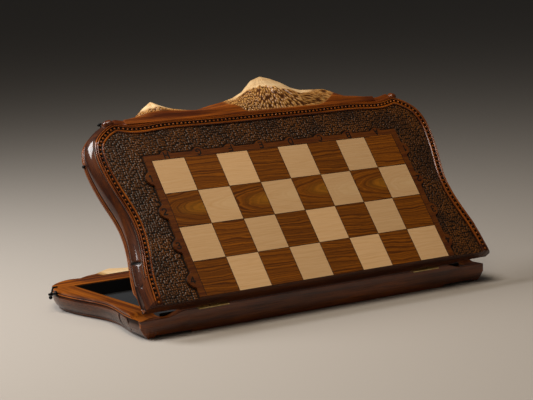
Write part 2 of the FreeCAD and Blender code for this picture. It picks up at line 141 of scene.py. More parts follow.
def half_place(tree, half):
    """Object coordinates turned back to the half's own face-up frame, in millimetres."""
    back = TO_ROW[half].inverted()
    return add(tree, "ShaderNodeMapping", {
        "Vector": add(tree, "ShaderNodeTexCoord").outputs["Object"],
        "Location": back.to_translation() / MM, "Rotation": back.to_euler(),
        "Scale": (1 / MM,) * 3}).outputs[0]


def along_grain(tree, place, axis):
    """Place with its X turned to run along the grain."""
    if axis == "X":
        return place
    turn = (0, 0, math.pi / 2)
    return add(tree, "ShaderNodeMapping", {"Vector": place, "Rotation": turn}).outputs[0]


def streaks(tree, place, length, width, detail=3.0):
    """Noise drawn out along X: streaks of about that length and width in millimetres."""
    scaled = add(tree, "ShaderNodeVectorMath", {
        0: place, 1: (1 / length, 1 / width, 1 / width)}, operation="MULTIPLY").outputs[0]
    return add(tree, "ShaderNodeTexNoise", {
        "Vector": scaled, "Scale": 1.0, "Detail": detail}).outputs[0]


def stained(tree, pattern, span, first, second, strength=1.0):
    """Colour that goes from one tone to another, up to a strength, as a pattern crosses a span."""
    share = add(tree, "ShaderNodeMapRange", {
        0: pattern, 1: span[0], 2: span[1], 3: 0.0, 4: strength}).outputs[0]
    first, second = (linear(tone) if isinstance(tone, str) else tone for tone in (first, second))
    return add(tree, "ShaderNodeMix", {
        0: share, 6: first, 7: second}, data_type="RGBA").outputs[2]


def finish_surface(tree, relief=None, strength=0.0, distance=0.0, gloss_from=None, **sockets):
    """Principled surface with its output; constant values stay on the shader's own sockets.

    Relief is a bump of that strength and distance; gloss_from is a pattern, its span and the
    roughness at the two ends of the span.
    """
    inputs = {key.replace("_", " "): value for key, value in sockets.items()}
    if relief is not None:
        inputs["Normal"] = add(tree, "ShaderNodeBump", {
            "Height": relief, "Strength": strength, "Distance": distance}).outputs[0]
    if gloss_from is not None:
        dullness = add(tree, "ShaderNodeMapRange", dict(enumerate(gloss_from)))
        inputs["Roughness"] = dullness.outputs[0]
    shader = add(tree, "ShaderNodeBsdfPrincipled", inputs)
    add(tree, "ShaderNodeOutputMaterial", {"Surface": shader.outputs[0]})


def carved_walnut(half, axis):
    """Walnut, carved, stained and waxed.

    Reddish brown; lighter on the ridges and parting faces, partly worn wood and, on the ridges,
    partly a painted highlight; near black in the cuts, partly dark wash and partly painted shade;
    darkened as painted shade on the smooth body of the moulding and on the lid's hinge wall. The
    wax is glossy on the smooth side and dull on the worn ridges and parting faces, which show the
    figure. Pores are drawn 0.35 mm wide, coarser than real ones, so that they show.
    """
    material, tree = new_material(f"carved waxed walnut {half} {axis}")
    place = along_grain(tree, half_place(tree, half), axis)
    broad = streaks(tree, place, length=160, width=9)
    fine = streaks(tree, place, length=45, width=1.1, detail=4.0)
    pores = streaks(tree, place, length=9, width=0.35, detail=1.0)
    wear_and_shading = add(tree, "ShaderNodeAttribute", attribute_name="wear_and_shading").outputs["Fac"]
    tone = stained(tree, broad, (0.35, 0.68), "542203", "964a08")
    tone = stained(tree, fine, (0.45, 0.7), tone, "321303", 0.75)
    tone = stained(tree, pores, (0.62, 0.72), tone, "1b0a03", 0.6)
    # Painted shade: a low share darkens towards near black the cuts, along with their dark wash,
    # the smooth body of the moulding and the lid's hinge wall
    tone = stained(tree, wear_and_shading, (0.0, 0.45), "070302", tone)
    # A share near 1 lightens the ridges and parting faces: worn wood, and on the ridges a painted
    # highlight
    figure = stained(tree, broad, (0.4, 0.6), "6e3408", "b8681a")
    tone = stained(tree, wear_and_shading, (0.85, 1.0), tone, figure, 0.5)
    wax = add(tree, "ShaderNodeMapRange", {0: wear_and_shading, 1: 0.06, 2: 0.17, 3: 0.05, 4: 0.75}).outputs[0]
    dull = add(tree, "ShaderNodeMapRange", {0: wear_and_shading, 1: 0.85, 2: 1.0, 3: 1.0, 4: 0.25}).outputs[0]
    wax = add(tree, "ShaderNodeMath", {0: wax, 1: dull}, operation="MULTIPLY").outputs[0]
    height = add(tree, "ShaderNodeMath", {0: fine, 1: pores}, operation="SUBTRACT").outputs[0]
    finish_surface(
        tree, relief=height, strength=0.12, distance=0.4 * MM,
        gloss_from=(fine, 0.3, 0.7, 0.5, 0.65), Base_Color=tone, Specular_IOR_Level=0.1,
        Coat_Weight=wax, Coat_Roughness=0.09, Coat_IOR=1.6)
    return material


def pebbled_walnut(half):
    """Walnut ground, punched all over, washed dark and worn back: black hollows, warm tips."""
    material, tree = new_material(f"punched walnut ground {half}")
    place = half_place(tree, half)
    wear_and_shading = add(tree, "ShaderNodeAttribute", attribute_name="wear_and_shading").outputs["Fac"]
    patch = streaks(tree, place, length=45, width=45, detail=2.0)
    fine = streaks(tree, place, length=1.4, width=1.4, detail=2.0)
    tip = stained(tree, patch, (0.4, 0.62), "523217", "7c4a1a")
    tip = stained(tree, fine, (0.45, 0.75), tip, "33200f", 0.7)
    tone = stained(tree, wear_and_shading, (0.05, 0.7), "120a05", tip)
    finish_surface(
        tree, relief=fine, strength=0.4, distance=0.3 * MM,
        gloss_from=(fine, 0.3, 0.7, 0.28, 0.45), Base_Color=tone)
    return material


def crest_walnut(half):
    """One walnut blank: waxed brown foot, chiselled gold flanks, summits bleached to cream.

    The bleached wood is the dullest, because the bleach opens the grain.
    """
    material, tree = new_material(f"chiselled and bleached walnut {half}")
    place = half_place(tree, half)
    wear_and_shading, snow, flank = (
        add(tree, "ShaderNodeAttribute", attribute_name=name).outputs["Fac"]
        for name in ("wear_and_shading", "snow", "flank"))
    broad = streaks(tree, place, length=120, width=6)
    fine = streaks(tree, place, length=40, width=1.0, detail=4.0)
    foot = stained(tree, broad, (0.35, 0.65), "5a2505", "a4550e")
    foot = stained(tree, fine, (0.42, 0.68), foot, "421d06", 0.8)
    side = stained(tree, broad, (0.3, 0.7), "94591a", "bf8a44")
    # Darker in the chisel cuts; the uncut faces between them are lightened to cream gold as a
    # painted highlight
    side = stained(tree, wear_and_shading, (0.05, 0.7), "4a2609", side)
    side = stained(tree, wear_and_shading, (0.7, 1.0), side, "e6bd80", 0.6)
    cap = stained(tree, broad, (0.35, 0.7), "efd0a0", "dcb27c")
    cap = stained(tree, wear_and_shading, (0.0, 0.5), "b07a3c", cap)
    tone = stained(tree, flank, (0.0, 1.0), foot, side)
    tone = stained(tree, snow, (0.0, 1.0), tone, cap)
    finish_surface(
        tree, relief=fine, strength=0.15, distance=0.4 * MM,
        gloss_from=(snow, 0.0, 1.0, 0.34, 0.55), Base_Color=tone,
        Coat_Weight=0.15, Coat_Roughness=0.3)
    return material


def veneer(half, name, tones, pores, contrast):
    """Veneer squares, sanded flat under satin lacquer.

    Each square is its own leaf, with its own figure and depth of colour. The squares of one row
    are cut through the heart, where the growth rings close; there a lighter tone is painted in for
    the lacquer's glow, a painted sheen. The tones are early wood, late wood, pores and the painted
    glow at the heart; pores and contrast are shares.
    """
    heart_x, heart_y, far_y = 56.0, 18.0, 96.0
    wander = (14.0, 12.0, 0.0)
    ring_shape = (0.24, 1.0, 0.0)
    leaf_shift, ring_shift = 900.0, 400.0
    material, tree = new_material(f"{name} {half}")
    place = half_place(tree, half)
    cell = add(tree, "ShaderNodeVectorMath", {
        0: place, 1: (SQUARE, SQUARE, 1000.0)}, operation="SNAP").outputs[0]
    chance = add(tree, "ShaderNodeTexWhiteNoise", {"Vector": cell}, noise_dimensions="3D").outputs
    row = add(tree, "ShaderNodeSeparateXYZ", {0: cell}).outputs[1]
    heart_row = add(tree, "ShaderNodeMath", {
        0: row, 1: 2 * SQUARE, 2: 1.0}, operation="COMPARE").outputs[0]
    middle_y = add(tree, "ShaderNodeMapRange", {
        0: heart_row, 1: 0.0, 2: 1.0, 3: far_y, 4: heart_y}).outputs[0]
    middle = add(tree, "ShaderNodeCombineXYZ", {0: heart_x, 1: middle_y}).outputs[0]
    heart = add(tree, "ShaderNodeVectorMath", {
        0: chance["Color"], 1: wander, 2: middle}, operation="MULTIPLY_ADD").outputs[0]
    inside = add(tree, "ShaderNodeVectorMath", {0: place, 1: cell}, operation="SUBTRACT").outputs[0]
    away = add(tree, "ShaderNodeVectorMath", {0: inside, 1: heart}, operation="SUBTRACT").outputs[0]
    away = add(tree, "ShaderNodeVectorMath", {
        0: away, 1: ring_shape}, operation="MULTIPLY").outputs[0]
    radius = add(tree, "ShaderNodeVectorMath", {0: away}, operation="LENGTH").outputs["Value"]
    shifted = add(tree, "ShaderNodeVectorMath", {
        0: chance["Color"], 1: (leaf_shift,) * 3, 2: place}, operation="MULTIPLY_ADD").outputs[0]
    waver = streaks(tree, shifted, length=60, width=16, detail=2.0)
    ring_at = add(tree, "ShaderNodeMath", {
        0: waver, 1: 11.0, 2: radius}, operation="MULTIPLY_ADD").outputs[0]
    ring_at = add(tree, "ShaderNodeMath", {
        0: chance["Value"], 1: ring_shift, 2: ring_at}, operation="MULTIPLY_ADD").outputs[0]
    rings = add(tree, "ShaderNodeTexNoise", {
        "W": ring_at, "Scale": 0.42, "Detail": 3.0}, noise_dimensions="1D").outputs[0]
    fine = streaks(tree, shifted, length=38, width=0.8, detail=4.0)
    dots = streaks(tree, shifted, length=6, width=0.4, detail=1.0)
    tone = stained(tree, rings, (0.5 - contrast, 0.5 + contrast), tones[0], tones[1])
    tone = stained(tree, fine, (0.45, 0.75), tone, tones[2], 0.55)
    tone = stained(tree, dots, (0.6, 0.74), tone, tones[2], pores)
    # Painted sheen: a lighter tone near the heart of the squares in the heart row, for the
    # lacquer's glow
    glow = add(tree, "ShaderNodeMapRange", {0: radius, 1: 2.0, 2: 13.0, 3: 0.6, 4: 0.0}).outputs[0]
    glow = add(tree, "ShaderNodeMath", {0: glow, 1: heart_row}, operation="MULTIPLY").outputs[0]
    tone = stained(tree, glow, (0.0, 1.0), tone, tones[3])
    value = add(tree, "ShaderNodeMapRange", {
        0: chance["Value"], 1: 0.0, 2: 1.0, 3: 0.88, 4: 1.1}).outputs[0]
    tone = add(tree, "ShaderNodeHueSaturation", {"Color": tone, "Value": value}).outputs[0]
    finish_surface(
        tree, relief=dots, strength=0.06, distance=-0.2 * MM,
        gloss_from=(fine, 0.3, 0.7, 0.36, 0.46), Base_Color=tone, Specular_IOR_Level=0.35)
    return material


def border_walnut(half):
    """Straight-grained walnut strips, lacquered satin, a little redder than the squares."""
    material, tree = new_material(f"walnut border {half}")
    place = half_place(tree, half)
    broad = streaks(tree, place, length=90, width=5)
    fine = streaks(tree, place, length=30, width=0.8, detail=4.0)
    tone = stained(tree, broad, (0.35, 0.65), "58290a", "76400d")
    tone = stained(tree, fine, (0.45, 0.7), tone, "3b1804")
    finish_surface(
        tree, relief=fine, strength=0.1, distance=0.3 * MM, Base_Color=tone, Roughness=0.38)
    return material


def speckle(tree, per_mm, detail, stretch=1.0):
    """Noise with that many specks per millimetre; stretch lengthens them along X."""
    place = add(tree, "ShaderNodeTexCoord").outputs["Object"]
    dense = per_mm / MM
    scaled = add(tree, "ShaderNodeVectorMath", {
        0: place, 1: (dense / stretch, dense, dense)}, operation="MULTIPLY").outputs[0]
    return add(tree, "ShaderNodeTexNoise", {
        "Vector": scaled, "Scale": 1.0, "Detail": detail}).outputs[0]


def ebony():
    """Dyed black veneer for lines and characters, under the same satin lacquer."""
    material, tree = new_material("black dyed veneer")
    fine = speckle(tree, per_mm=0.9, detail=2.0)
    tone = stained(tree, fine, (0.35, 0.7), "0a0604", "1d120b")
    finish_surface(tree, Base_Color=tone, Roughness=0.42)
    return material


def felt():
    """Black flocked cloth glued inside the trays: matt, with a faint sheen at a low angle.

    Real nap is under 0.1 mm; it is drawn in tufts of 0.7 mm, so that it shows.
    """
    material, tree = new_material("black flocked lining")
    nap = speckle(tree, per_mm=1.5, detail=3.0)
    cloud = speckle(tree, per_mm=0.028, detail=3.0)
    tone = stained(tree, cloud, (0.3, 0.7), "08090a", "111315")
    tone = stained(tree, nap, (0.4, 0.75), tone, "181a1d")
    finish_surface(
        tree, relief=nap, strength=0.5, distance=0.5 * MM,
        Base_Color=tone, Roughness=0.95, Sheen_Weight=0.12, Sheen_Roughness=0.45)
    return material


def brass():
    """Rolled brass, brushed along the hinge and slightly dulled by handling.

    Brush lines are drawn 0.4 mm wide, coarser than real ones, so that they show.
    """
    material, tree = new_material("brushed brass")
    brush = speckle(tree, per_mm=2.5, detail=2.0, stretch=2500 / 60)
    haze = speckle(tree, per_mm=0.12, detail=3.0)
    tone = stained(tree, haze, (0.35, 0.7), "f0d795", "c9a560")
    finish_surface(
        tree, relief=brush, strength=0.15, distance=0.1 * MM,
        gloss_from=(haze, 0.3, 0.7, 0.25, 0.42), Base_Color=tone, Metallic=1.0)
    return material


def black_steel():
    """Turned steel blacked in oil: dark, smooth, with lighter wear where fingers touch."""
    material, tree = new_material("oil blacked steel")
    haze = speckle(tree, per_mm=0.4, detail=4.0)
    tone = stained(tree, haze, (0.45, 0.7), "17181a", "343538")
    finish_surface(tree, gloss_from=(haze, 0.3, 0.7, 0.22, 0.36), Base_Color=tone, Metallic=0.85)
    return material


# ---------------------------------------------------------------- mesh tools


def through(points, count):
    """Evenly spaced points on the natural cubic curve through the given ones."""
    p = np.array(points, float)
    t = np.concatenate([[0], np.cumsum(np.linalg.norm(np.diff(p, axis=0), axis=1))])
    n, h = len(p), np.diff(t)
    a, b = np.eye(n), np.zeros_like(p)
    for i in range(1, n - 1):
        a[i, i - 1:i + 2] = h[i - 1], 2 * (h[i - 1] + h[i]), h[i]
        b[i] = 6 * ((p[i + 1] - p[i]) / h[i] - (p[i] - p[i - 1]) / h[i - 1])
    m = np.linalg.solve(a, b)
    u = np.linspace(0, t[-1], count)
    k = np.clip(np.searchsorted(t, u, side="right") - 1, 0, n - 2)
    s, e, w = (u - t[k])[:, None], (t[k + 1] - u)[:, None], h[k][:, None]
    bend = (m[k] * e**3 + m[k + 1] * s**3) / (6 * w)
    return bend + (p[k] / w - m[k] * w / 6) * e + (p[k + 1] / w - m[k + 1] * w / 6) * s


def smooth_rows(rows, steps):
    """Catmull-Rom points between the rows of a table."""
    p = np.array(rows, float)
    ends = np.vstack([2 * p[0] - p[1], p, 2 * p[-1] - p[-2]])
    made = []
    for i in range(len(p) - 1):
        a, b, c, d = ends[i:i + 4]
        for t in np.arange(steps) / steps:
            made.append(0.5 * (2 * b + (c - a) * t + (2 * a - 5 * b + 4 * c - d) * t**2
                               + (3 * b - a - 3 * c + d) * t**3))
    return np.vstack(made + [p[-1]])


def smooth_share(value, low, high):
    """0 below low, 1 above high, and an eased rise between."""
    t = np.clip((value - low) / (high - low), 0, 1)
    return t * t * (3 - 2 * t)


def between(value, low, low_end, high_start, high):
    """1 between low_end and high_start, easing to 0 outside low and high."""
    return smooth_share(value, low, low_end) * (1 - smooth_share(value, high_start, high))


def object_from(name, points, faces, attributes=None):
    """Mesh object in metres from millimetre points in a half's own frame."""
    mesh = bpy.data.meshes.new(name)
    mesh.from_pydata([tuple(p) for p in np.asarray(points, float) * MM], [], faces)
    for key, values in (attributes or {}).items():
        layer = mesh.attributes.new(key, "FLOAT", "POINT")
        layer.data.foreach_set("value", np.asarray(values, np.float32))
    obj = bpy.data.objects.new(name, mesh)
    bpy.context.scene.collection.objects.link(obj)
    return obj


def tidy_normals(obj, sharp):
    """Merge doubles, turn the faces outwards and mark edges sharper than that many degrees."""
    bm = bmesh.new()
    bm.from_mesh(obj.data)
    bmesh.ops.remove_doubles(bm, verts=bm.verts, dist=2e-6)
    bmesh.ops.dissolve_degenerate(bm, edges=bm.edges, dist=1e-6)
    bmesh.ops.recalc_face_normals(bm, faces=bm.faces)
    limit = math.radians(sharp)
    for face in bm.faces:
        face.smooth = True
    for edge in bm.edges:
        edge.smooth = len(edge.link_faces) == 2 and edge.calc_face_angle(0.0) < limit
    bm.to_mesh(obj.data)
    bm.free()


def swept(sections):
    """Closed solid through equal closed sections, with flat ends."""
    rows, columns = sections.shape[:2]
    faces = []
    for r in range(rows - 1):
        this, above = r * columns, (r + 1) * columns
        for c in range(columns):
            d = (c + 1) % columns
            faces.append((this + c, this + d, above + d, above + c))
    faces.append(tuple(range(columns)))
    faces.append(tuple((rows - 1) * columns + c for c in reversed(range(columns))))
    return sections.reshape(-1, 3), faces


def node_tree(name, inputs):
    """Geometry tree with named inputs, a material among them, and its input and output nodes."""
    tree = bpy.data.node_groups.new(name, "GeometryNodeTree")
    tree.interface.new_socket(
        name="Geometry", in_out="INPUT", socket_type="NodeSocketGeometry")
    for label, value in inputs.items():
        socket = tree.interface.new_socket(
            name=label, in_out="INPUT", socket_type="NodeSocketFloat")
        socket.default_value = value
    tree.interface.new_socket(
        name="Material", in_out="INPUT", socket_type="NodeSocketMaterial")
    tree.interface.new_socket(
        name="Geometry", in_out="OUTPUT", socket_type="NodeSocketGeometry")
    return tree, add(tree, "NodeGroupInput").outputs, add(tree, "NodeGroupOutput")


def end_tree(tree, given, out, geometry, share):
    """Ends a tree: real geometry that carries its share of wear and painted shading, and its
    material.
    """
    real = add(tree, "GeometryNodeRealizeInstances", {"Geometry": geometry})
    stored = add(tree, "GeometryNodeStoreNamedAttribute", {
        "Geometry": real.outputs[0], "Name": "wear_and_shading", "Value": share},
        data_type="FLOAT", domain="POINT")
    painted = add(tree, "GeometryNodeSetMaterial", {
        "Geometry": stored.outputs[0], "Material": given["Material"]})
    tree.links.new(painted.outputs[0], out.inputs[0])
    return tree


def baked(obj, tree, material):
    """Plain mesh object that a node tree makes of an object, which loses the tree."""
    modifier = obj.modifiers.new("shape", "NODES")
    modifier.node_group = tree
    sockets = {s.name: s.identifier for s in tree.interface.items_tree if s.in_out == "INPUT"}
    modifier[sockets["Material"]] = material
    graph = bpy.context.evaluated_depsgraph_get()
    mesh = bpy.data.meshes.new_from_object(obj.evaluated_get(graph))
    obj.modifiers.clear()
    if obj.type == "MESH":
        obj.data = mesh
        return obj
    name = obj.name
    bpy.data.objects.remove(obj)
    made = bpy.data.objects.new(name, mesh)
    bpy.context.scene.collection.objects.link(made)
    return made


def settle(obj, half, material, replaces=()):
    """Lays a finished piece in the row frame, on its half."""
    obj.data.transform(TO_ROW[half])
    obj.data.materials.clear()
    obj.data.materials.append(material)
    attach(obj, half)
    for node in replaces:
        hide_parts(node)
    return obj


# ---------------------------------------------------------------- carved frame

# Section of the side moulding: (inset from the outline, depth, share of wear and painted
# shading), parting edge to ground. The first rows are the foot and its ridge; from FIRST_STRIP on
# they are the bead strip. A low share darkens the cuts, partly dark wash and partly painted shade,
# and the smooth body of the moulding, as painted shade; a share near 1 lightens the ridges, partly
# worn wood and partly a painted highlight.
SIDE_SECTION = (
    (0.0, 28.85, 1.0), (0.0, 26.6, 0.9), (0.2, 26.0, 0.6), (0.9, 25.6, 0.0), (0.9, 25.1, 0.0),
    (0.25, 24.6, 1.0), (0.05, 24.0, 1.0), (0.25, 23.4, 1.0), (1.2, 22.8, 0.0), (1.1, 22.0, 0.1),
    (0.5, 20.5, 0.2), (0.25, 18.5, 0.2), (0.45, 16.0, 0.18), (1.0, 13.5, 0.17), (1.9, 11.0, 0.17),
    (3.1, 8.6, 0.17), (4.6, 6.4, 0.18), (6.2, 4.7, 0.16), (7.3, 4.0, 0.1), (7.8, 3.9, 0.0),
    (8.0, 2.4, 0.5), (8.5, 1.4, 1.0), (9.1, 1.2, 1.0), (9.6, 1.6, 0.6), (9.9, 2.3, 0.0),
    (10.3, 2.3, 0.0), (10.6, 0.9, 0.7), (11.1, 0.35, 1.0), (11.7, 0.35, 1.0), (12.2, 0.9, 0.5),
    (12.5, 1.7, 0.0), (14.7, 1.9, 0.0), (17.0, 1.7, 0.0), (17.3, 0.9, 0.5), (17.8, 0.3, 1.0),
    (18.6, 0.2, 1.0), (19.4, 0.35, 1.0), (20.0, 1.0, 0.5), (20.4, 2.2, 0.1), (20.5, 3.4, 0.0),
)
FOOT_ROWS = 9
BACK_ROWS = 10
FIRST_STRIP = 24
STRIP_IN = 20.0
SECTION_STEPS = 2
# Side of the plain hinge corners, flush with the carving: insets at these depths
PLAIN_DEPTH = (1.2, 2.4, 3.9, 4.7, 6.4, 8.6, 11.0, 13.5)
PLAIN_INSET = (9.4, 8.4, 7.2, 6.0, 4.3, 2.8, 1.5, 0.4)
# Carving on the side: its middle depth, and where it ends, folds and has veins, along Y
CARVING_MIDDLE = 13.0
CARVING_END = 31.0
CREASE_AT = 66.0
VEINS_AT = (40.0, 48.0, 96.0, 112.0)
# Beads in their channel: its inset and depth, and the beads' pitch and radius
CHANNEL_IN = 14.7
CHANNEL_DEPTH = 1.7
BEAD_PITCH = 6.4
BEAD_R = 1.7
# Faces of the block that marks out a mortise. They point inwards, so it scores the mortise's
# outline in the wall and takes no wood away.
BLOCK_FACES = ((0, 1, 3, 2), (4, 6, 7, 5), (0, 4, 5, 1), (2, 3, 7, 6), (0, 2, 6, 4), (1, 5, 7, 3))
# Scroll at a rear corner: centre of its bulb and half sizes along X, Y and Z
SCROLL_AT = (236.5, 264.0, -8.5)
SCROLL_HALF = (8.55, 6.0, 7.6)


def plain_section():
    """The same section with no carving on its side, as it is at the hinge corners."""
    rows = np.array(SIDE_SECTION)
    rows[1:FOOT_ROWS, 0] = 0
    rows[1:FOOT_ROWS, 1] = np.linspace(27.0, 14.0, FOOT_ROWS - 1)
    side = slice(FOOT_ROWS, FIRST_STRIP)
    rows[side, 1] = np.linspace(12.5, 1.4, FIRST_STRIP - FOOT_ROWS)
    rows[side, 0] = np.interp(rows[side, 1], PLAIN_DEPTH, PLAIN_INSET)
    # Painted shade: the plain side is darkened like the smooth body of the moulding
    rows[side, 2] = 0.22
    return rows


def rear_section():
    """The section behind the field: an upright back, and a smooth band up to the bead strip."""
    rows = np.array(SIDE_SECTION)
    rows[:BACK_ROWS, 0] = 0
    rows[:BACK_ROWS, 1] = np.linspace(PARTING, 5.0, BACK_ROWS)
    band = slice(BACK_ROWS, FIRST_STRIP)
    share = np.linspace(0, 1, FIRST_STRIP - BACK_ROWS)
    rows[band, 0] = 9.6 * share**1.2
    rows[band, 1] = 3.0 - 1.6 * np.sin(share * math.pi / 2)
    rows[band, 1] += 1.4 * (1 - smooth_share(rows[band, 0], 5.5, 8.0))
    rows[:FIRST_STRIP, 2] = 0.7
    return rows


def outline_path(count=820):
    """Points round a half and their inward directions, hinge corner to hinge corner."""
    middle = [(x, REAR_EDGE) for x in REAR_STEPS]
    right = [(-x, y) for x, y in reversed(OUTLINE)]
    points = through(list(OUTLINE) + middle + right, count)
    run = np.gradient(points, axis=0)
    run /= np.linalg.norm(run, axis=1)[:, None]
    return points, np.stack([run[:, 1], -run[:, 0]], axis=1)


def rim_table(path):
    """Inset, depth and share of wear and painted shade of the carved section at every step of the
    outline.
    """
    side, plain, rear = (smooth_rows(rows, SECTION_STEPS) for rows in (
        SIDE_SECTION, plain_section(), rear_section()))
    x, y = np.abs(path[:, :1]), path[:, 1:]
    depth = side[None, :, 1]
    end = CARVING_END + 7 * ((depth - CARVING_MIDDLE) / 10) ** 2
    column = np.arange(len(side))[None, :]
    at_corner = 1 - smooth_share(y, end, end + 3.5)
    at_corner = np.where(column < FOOT_ROWS * SECTION_STEPS, 1 - smooth_share(y, 2, 6), at_corner)
    at_corner = np.where(column < FIRST_STRIP * SECTION_STEPS, at_corner, 0)
    on_rear = np.where(y > 240, 1 - smooth_share(x, 226, 240), 0)
    table = side[None] + at_corner[..., None] * (plain - side)[None]
    table = table + on_rear[..., None] * (rear[None] - table)
    body = between(depth, 4, 7, 20, 22)
    crease = np.exp(-((y - CREASE_AT - 0.4 * (depth - CARVING_MIDDLE)) / 1.6) ** 2)
    stop = np.exp(-((y - end) / 1.1) ** 2)
    veins = 0.5 + 0.5 * np.sin((y + 1.3 * np.abs(depth - CARVING_MIDDLE)) * 1.5)
    veins = veins * between(y, *VEINS_AT)
    table[..., 0] += (1.4 * crease + 0.7 * stop + 0.3 * veins) * body
    # The crease, the carving's stop and the veins are darkened in colour as well as cut in
    wear_and_shading = table[..., 2] - (0.5 * crease + 0.3 * stop + 0.05 * veins) * body
    table[..., 2] = np.clip(wear_and_shading, 0, 1)
    return table


def frame_sections():
    """Closed sections of the carved frame round the outline, with their shares of wear and painted
    shade.

    First and last are the steps at which the rear rail meets the side rails.
    """
    path, inward = outline_path()
    table = rim_table(path)
    x, y = np.abs(path[:, 0]), path[:, 1]
    limit = PARTING - (PARTING - GAP_DEPTH) * (1 - smooth_share(y, *GAP_SIDE))
    gap = np.minimum(table[..., 1], limit[:, None])
    low = np.where(y[:, None] < GAP_SIDE[1], gap, table[..., 1])
    spots = path[:, None, :] + table[..., :1] * inward[:, None, :]
    near = np.clip(1 - y / MITRE_RUN, 0, 1)[:, None]
    spots[..., 1] += near * table[..., 0] * HINGE_WALL / STRIP_IN
    outside = np.concatenate([spots, -low[..., None]], axis=2)
    inner = np.stack([np.sign(path[:, 0]) * CAVITY_X, y + near[:, 0] * HINGE_WALL], axis=1)
    first = int(np.argmax(y > REAR_CAVITY))
    last = len(y) - first
    flat = int(np.argmax(x < -OUTLINE[-1][0]))
    rear_x = path[:, 0].copy()
    rear_x[first:flat] = np.linspace(inner[first, 0], path[flat, 0], flat - first)
    rear_x[len(y) - flat:last] = -rear_x[first:flat][::-1]
    inner[first:last] = np.stack([rear_x, np.full(len(y), REAR_CAVITY)], axis=1)[first:last]
    tops = np.concatenate([inner, np.full((len(y), 1), -CAVITY_TOP)], axis=1)
    feet = np.concatenate([inner, -limit[:, None]], axis=1)
    points = np.concatenate([outside, tops[:, None], feet[:, None]], axis=1)
    wear_and_shading = np.concatenate([table[..., 2], np.full((len(y), 2), 1.0)], axis=1)
    return points, wear_and_shading, first, last


def scroll_bulb(side):
    """Rounded end of the side moulding at a rear corner, with a turned lip round it."""
    turns, steps = 28, 18
    x, y, z = SCROLL_AT
    along, wide, tall = SCROLL_HALF
    rows = []
    for lift in np.linspace(-math.pi / 2, math.pi / 2, steps + 1):
        lip = 1 + 0.09 * math.exp(-((lift - 0.15) / 0.16) ** 2)
        lip -= 0.08 * math.exp(-((lift - 0.5) / 0.14) ** 2)
        out = lip * math.cos(lift)
        rows.append([
            (side * (x - along * math.sin(lift)), y + wide * out * math.cos(a),
             z + tall * out * math.sin(a))
            for a in np.arange(turns) * 2 * math.pi / turns])
    return np.array(rows)


def carved_rails(half, materials):
    """Left, right and rear rails, each its own solid; face down, left and right change places."""
    points, wear_and_shading, first, last = frame_sections()
    start, stop = (0, first + 1), (last - 1, len(points))
    left, right = (stop, start) if half == "base" else (start, stop)
    rear = (first, last)
    for name, span, axis in (
            ("left_rail", left, "Y"), ("rear_rail", rear, "X"), ("right_rail", right, "Y")):
        spots, faces = swept(points[slice(*span)])
        shares = wear_and_shading[slice(*span)].ravel()
        if name == "rear_rail":
            for side in (-1, 1):
                bulb_spots, bulb_faces = swept(scroll_bulb(side))
                faces += [tuple(i + len(spots) for i in face) for face in bulb_faces]
                spots = np.vstack([spots, bulb_spots])
                shares = np.concatenate([shares, np.full(len(bulb_spots), 0.75)])
        piece = object_from(f"{half}_carved_{name}", spots, faces, {"wear_and_shading": shares})
        tidy_normals(piece, 50)
        settle(piece, half, materials[axis], [f"{half}_{name}"])


def hinge_wall_stations():
    """Along the hinge wall: place, depth of its face, depth of its lipping, and wall width."""
    plain = smooth_rows(plain_section(), SECTION_STEPS)
    rise = plain[plain[:, 1] < 12.5]
    inset = np.concatenate([[0.0, 0.05], np.linspace(0.4, 20.4, 46), [20.6, 24.0, 30.0]])
    top = np.interp(inset, np.maximum.accumulate(rise[:, 0]), rise[:, 1])
    top[inset > 20.5] = GROUND
    lip = 0.05
    made = [(n - HALF_WIDTH, d, d, min(HINGE_WALL, 0.6 * n)) for n, d in zip(inset, top)]
    made += [(x, GROUND, GROUND, HINGE_WALL) for x in np.linspace(-GAP_FULL_X, -GAP_END_X, 14)]
    made += [(-LIPPING_X - 0.02, GROUND, GROUND, HINGE_WALL), (-LIPPING_X, GROUND, lip, HINGE_WALL)]
    made += [(x, GROUND, lip, HINGE_WALL) for x in np.linspace(-FIELD_X, 0, 22)]
    return made + [(-x, *rest) for x, *rest in reversed(made[:-1])]


def hinge_wall(half, material, wall_shading):
    """Straight wall at the hinge: mitred ends, finger gaps, and the leaves' outlines scored."""
    rows = []
    for x, face, lip, wide in hinge_wall_stations():
        low = PARTING - (PARTING - GAP_DEPTH) * smooth_share(abs(x), GAP_END_X, GAP_FULL_X)
        wide = max(wide, 0.02)
        round_by, lipping = min(0.4, wide / 3), min(LIPPING, wide / 2)
        outline = (
            (0, lip + round_by), (round_by * 0.3, lip + round_by * 0.3), (round_by, lip),
            (lipping, lip), (lipping, face), (wide, face), (wide, low), (round_by, low),
            (0, low - round_by))
        rows.append([(x, y, -depth) for y, depth in outline])
    spots, faces = swept(np.array(rows))
    piece = object_from(
        f"{half}_plain_hinge_rail", spots, faces, {"wear_and_shading": np.full(len(spots), wall_shading)})
    tidy_normals(piece, 30)
    for side in ("left", "right"):
        ends = [corner.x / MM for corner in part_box(f"{side}_hinge_base_leaf")]
        block = [(x, y, -z) for x in ends for y in (-2, 8.5) for z in (PARTING - 1, PARTING + 2)]
        cutter = object_from("cutter", block, BLOCK_FACES)
        cut = piece.modifiers.new("mortise", "BOOLEAN")
        cut.object = cutter
        cut.solver = "EXACT"
        graph = bpy.context.evaluated_depsgraph_get()
        piece.data = bpy.data.meshes.new_from_object(piece.evaluated_get(graph))
        piece.modifiers.clear()
        bpy.data.objects.remove(cutter)
    tidy_normals(piece, 30)
    # One share for the whole wall; on the lid it paints the wall nearly black as shade
    for point in piece.data.attributes["wear_and_shading"].data:
        point.value = wall_shading
    settle(piece, half, material, [f"{half}_hinge_rail"])


